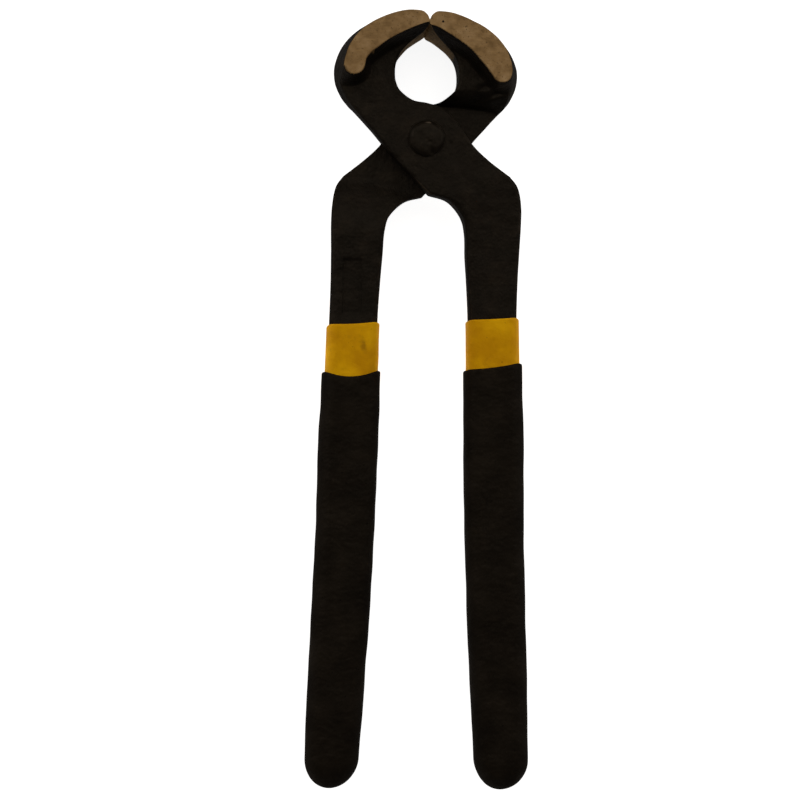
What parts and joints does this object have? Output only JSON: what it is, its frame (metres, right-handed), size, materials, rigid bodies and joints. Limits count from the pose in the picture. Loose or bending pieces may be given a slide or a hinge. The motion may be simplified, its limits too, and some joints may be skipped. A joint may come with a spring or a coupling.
{
  "type": "carpenter's pincers",
  "caption": "Carpenter's end-cutting pincers: two forged levers crossing on a rivet, round jaws with ground side faces, dipped black grips over yellow bands.",
  "frame": {"origin": "middle of the tool's outline on the plane of the lower jaw faces, the tool lying flat", "axes": "+Z along the rivet, out of the rivet's head; +Y from the handles to the jaws; +X to the right"},
  "size_m": [0.0586, 0.2013, 0.025],
  "materials": {
    "forged_steel": "matte black scale with ground bare faces",
    "rivet_steel": "black, satin",
    "yellow_dip": "satin dipped vinyl",
    "black_dip": "matte dipped vinyl"
  },
  "bodies": {
    "back_half": {"lever_back": "forged_steel", "pivot_rivet": "rivet_steel", "back_band_sleeve": "yellow_dip", "back_grip": "black_dip"},
    "front_half": {"lever_front": "forged_steel", "front_band_sleeve": "yellow_dip", "front_grip": "black_dip"}
  },
  "joints": [
    {"name": "jaws_open", "type": "hinge", "parent": "back_half", "child": "front_half", "pos_m": [0, 0.0679, 0.0125], "axis": [0, 0, 1], "range_deg": [0, 40]}
  ]
}
